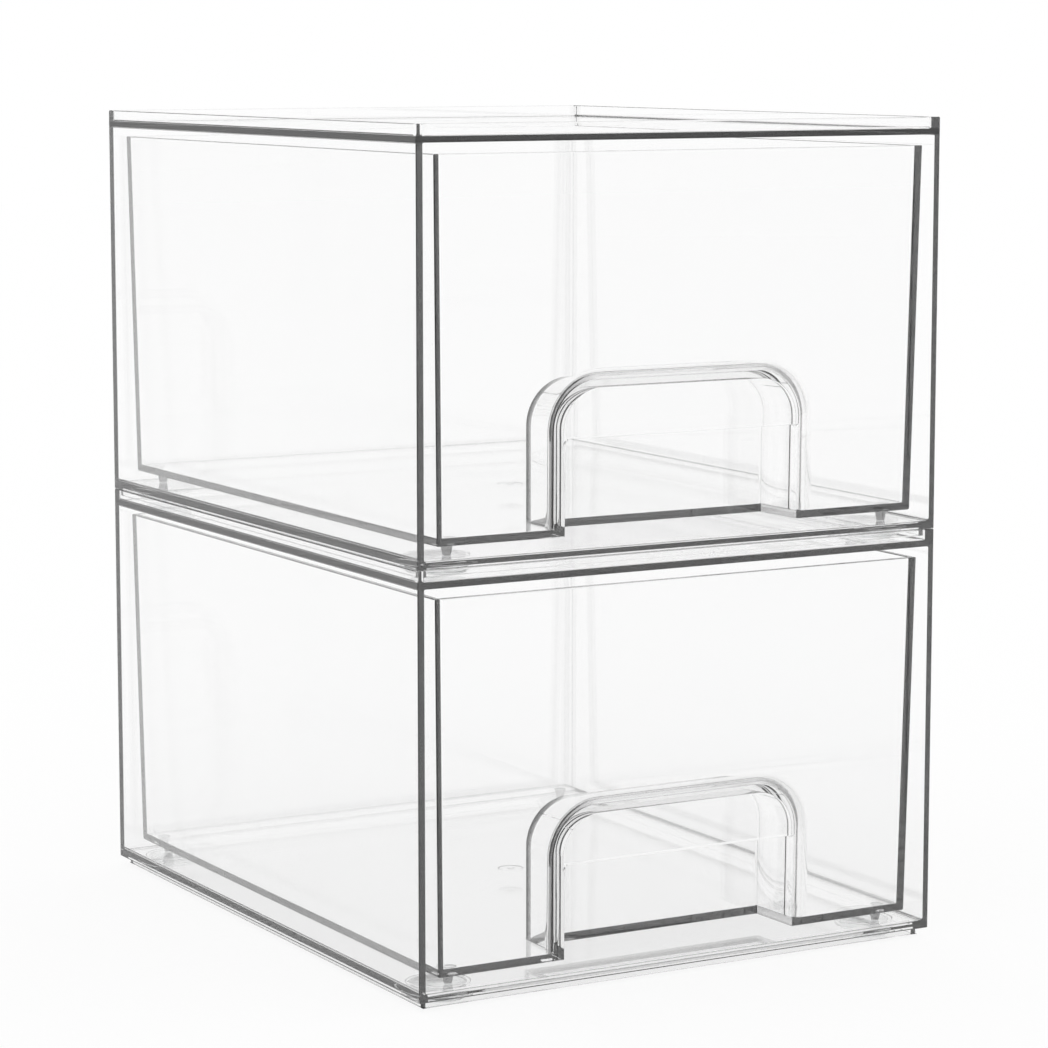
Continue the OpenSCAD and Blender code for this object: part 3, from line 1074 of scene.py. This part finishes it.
        # painted light: the lit face scatters in light from below instead of losing it, keeping
        # the lower plate's end pale
        lit = add_node(tree, "ShaderNodeAttribute", {"attribute_name": Look.LIT.value})
        instead = add_node(tree, "ShaderNodeBsdfTranslucent",
                           inputs={"Color": lit.outputs["Fac"]})
        surface = add_node(tree, "ShaderNodeMixShader", inputs={
            0: self.loss(tree, lit).outputs[0], 1: self.sheet(tree).outputs["BSDF"],
            2: instead.outputs["BSDF"]})
        volume = add_node(tree, "ShaderNodeVolumeAbsorption", inputs={
            "Color": linear(self.absorbed), "Density": self.density_per_m})
        add_node(tree, "ShaderNodeOutputMaterial", inputs={
            "Surface": surface.outputs["Shader"], "Volume": volume.outputs["Volume"]})
        return material


@dataclass(frozen=True)
class ClearSilicone:
    """Translucent silicone rubber, compression moulded.

    Softer and a little milky beside the hard plastic, with a satin surface: a fine grain from
    the press breaks up its reflections. The roughness goes from its least to its greatest
    over the noise values of grain_range.
    """

    name: str = "clear_silicone_compression_moulded"
    tint: str = "#F8FAFA"
    ior: float = 1.41
    roughness: tuple[float, float] = (0.1, 0.2)
    transmission: float = 0.97
    grain_mm: float = 1.2
    grain_height_mm: float = 0.02
    grain_range: tuple[float, float] = (0.3, 0.7)

    def make(self) -> Material:
        """Builds the material.

        Returns:
            The material.
        """
        material = bpy.data.materials.new(self.name)
        tree = empty_tree(material)
        place = add_node(tree, "ShaderNodeTexCoord")
        grain = add_node(tree, "ShaderNodeTexNoise", inputs={
            "Vector": place.outputs["Object"], "Scale": 1 / (self.grain_mm * MM), "Detail": 2.0})
        relief = add_node(tree, "ShaderNodeBump", inputs={
            "Distance": self.grain_height_mm * MM, "Height": grain.outputs["Fac"]})
        satin = add_node(tree, "ShaderNodeMapRange", inputs={
            "Value": grain.outputs["Fac"], "From Min": self.grain_range[0],
            "From Max": self.grain_range[1], "To Min": self.roughness[0],
            "To Max": self.roughness[1]})
        shader = add_node(tree, "ShaderNodeBsdfPrincipled", inputs={
            "Base Color": linear(self.tint), "Roughness": satin.outputs["Result"],
            "IOR": self.ior, "Transmission Weight": self.transmission,
            "Normal": relief.outputs["Normal"]})
        add_node(tree, "ShaderNodeOutputMaterial", inputs={"Surface": shader.outputs["BSDF"]})
        return material


@dataclass(frozen=True)
class WhiteLaminate:
    """Matt white table top.

    It is pale enough to run into the background, and it keeps a soft shadow of the stack.

    Attributes:
        shadow_seen: Share of the shading that is left when the floor is seen directly. The
            rest is plain white.
        shadow_through: The same for the floor seen through the plastic or reflected in it.
    """

    name: str = "floor_white_laminate"
    colour: str = "#FEFEFE"
    shadow_seen: float = 0.1
    shadow_through: float = 0.25

    def make(self) -> Material:
        """Builds the material.

        Returns:
            The material.
        """
        material = bpy.data.materials.new(self.name)
        tree = empty_tree(material)
        paths = add_node(tree, "ShaderNodeLightPath")
        diffuse = add_node(tree, "ShaderNodeBsdfDiffuse", inputs={"Color": linear(self.colour)})
        white = add_node(tree, "ShaderNodeEmission", inputs={"Strength": 1.0})
        indirect = add_node(tree, "ShaderNodeMath", {"operation": "MAXIMUM"}, {
            0: paths.outputs["Is Transmission Ray"], 1: paths.outputs["Is Glossy Ray"]})
        through = add_node(tree, "ShaderNodeMath", {"operation": "MULTIPLY"},
                           {0: indirect.outputs[0], 1: 1 - self.shadow_through})
        share = add_node(tree, "ShaderNodeMath", {"operation": "MULTIPLY_ADD"}, {
            0: paths.outputs["Is Camera Ray"], 1: 1 - self.shadow_seen, 2: through.outputs[0]})
        mixed = add_node(tree, "ShaderNodeMixShader", inputs={
            0: share.outputs[0], 1: diffuse.outputs["BSDF"], 2: white.outputs["Emission"]})
        add_node(tree, "ShaderNodeOutputMaterial", inputs={"Surface": mixed.outputs["Shader"]})
        return material


# ---- Stack ----


@dataclass
class Unit:
    """One case with its drawer and its four pads.

    Attributes:
        level: Which of the two units it is.
        shell: Finish of the case and the drawer.
        foot: Finish of the pads.
    """

    level: Level
    shell: Material
    foot: Material

    def build(self) -> None:
        """Builds the mouldings and the pads, and says what each stands for."""
        prefix = self.level.prefix
        for kind, piece in (("case", Case().build(self.level, self.shell)),
                            ("drawer", Drawer().build(self.level, self.shell))):
            node = f"{prefix}_{kind}"
            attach(piece, node)
            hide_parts(node)
            log.info("%s: %d faces, %s", piece.name, len(piece.data.polygons), self.shell.name)
        corners = ("front_left", "rear_left", "front_right", "rear_right")
        for corner, (x, y) in zip(corners, Case().pads()):
            node = f"{prefix}_pad_{corner}"
            piece = Pad().build(f"{node}_disc", (x, y, self.level.height), self.foot)
            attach(piece, f"{prefix}_case")
            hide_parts(node)
            log.info("%s: %d faces, %s", piece.name, len(piece.data.polygons), self.foot.name)


@dataclass
class Studio:
    """Pale floor, soft light from the world and the camera.

    Sizes and places are in metres. The camera's view is turned from +Y to the right by its yaw
    and down by its pitch.
    """

    floor_size: float = 12.0
    floor_drop: float = 0.0002
    camera_at: Point = (-0.72741, -1.28875, 0.36431)
    yaw_deg: float = 29.7253
    pitch_deg: float = 7.7997
    lens_mm: float = 121.555
    sensor_mm: float = 36.0

    def floor(self, finish: Material) -> Object:
        """Lays the floor under the pads.

        Args:
            finish: The floor's material.

        Returns:
            The floor.
        """
        half, low = self.floor_size / 2, -self.floor_drop
        mesh = bpy.data.meshes.new("floor")
        mesh.from_pydata([(-half, -half, low), (half, -half, low), (half, half, low),
                          (-half, half, low)], [], [(0, 1, 2, 3)])
        mesh.materials.append(finish)
        floor = place_object("floor", mesh)
        return floor

    def light(self) -> None:
        """Sets a plain white world, which lights the stack softly from all sides."""
        world = bpy.data.worlds.new("studio")
        bpy.context.scene.world = world
        tree = empty_tree(world)
        back = add_node(tree, "ShaderNodeBackground", inputs={
            "Color": (1, 1, 1, 1), "Strength": 1.0})
        add_node(tree, "ShaderNodeOutputWorld", inputs={"Surface": back.outputs["Background"]})

    def camera(self) -> None:
        """Places the camera in front of the stack, to its left and a little above it."""
        data = bpy.data.cameras.new("camera")
        data.sensor_width = self.sensor_mm
        data.lens = self.lens_mm
        camera = bpy.data.objects.new("camera", data)
        camera.location = Vector(self.camera_at)
        camera.rotation_euler = Euler(
            (math.radians(90 - self.pitch_deg), 0.0, -math.radians(self.yaw_deg)))
        bpy.context.scene.collection.objects.link(camera)
        bpy.context.scene.camera = camera


def main() -> None:
    """Builds every finish and piece in order."""
    logging.basicConfig(level=logging.INFO, format="%(name)s: %(message)s")
    scene = bpy.context.scene
    scene.view_settings.view_transform = "Standard"
    scene.cycles.max_bounces = BOUNCES
    scene.cycles.transmission_bounces = BOUNCES
    scene.cycles.glossy_bounces = BOUNCES
    scene.cycles.caustics_reflective = True
    scene.cycles.caustics_refractive = True
    studio = Studio()
    studio.camera()
    studio.light()
    studio.floor(WhiteLaminate().make())
    shell = ClearPolystyrene().make()
    foot = ClearSilicone().make()
    for level in Level:
        Unit(level, shell, foot).build()


if __name__ == "__main__":
    main()
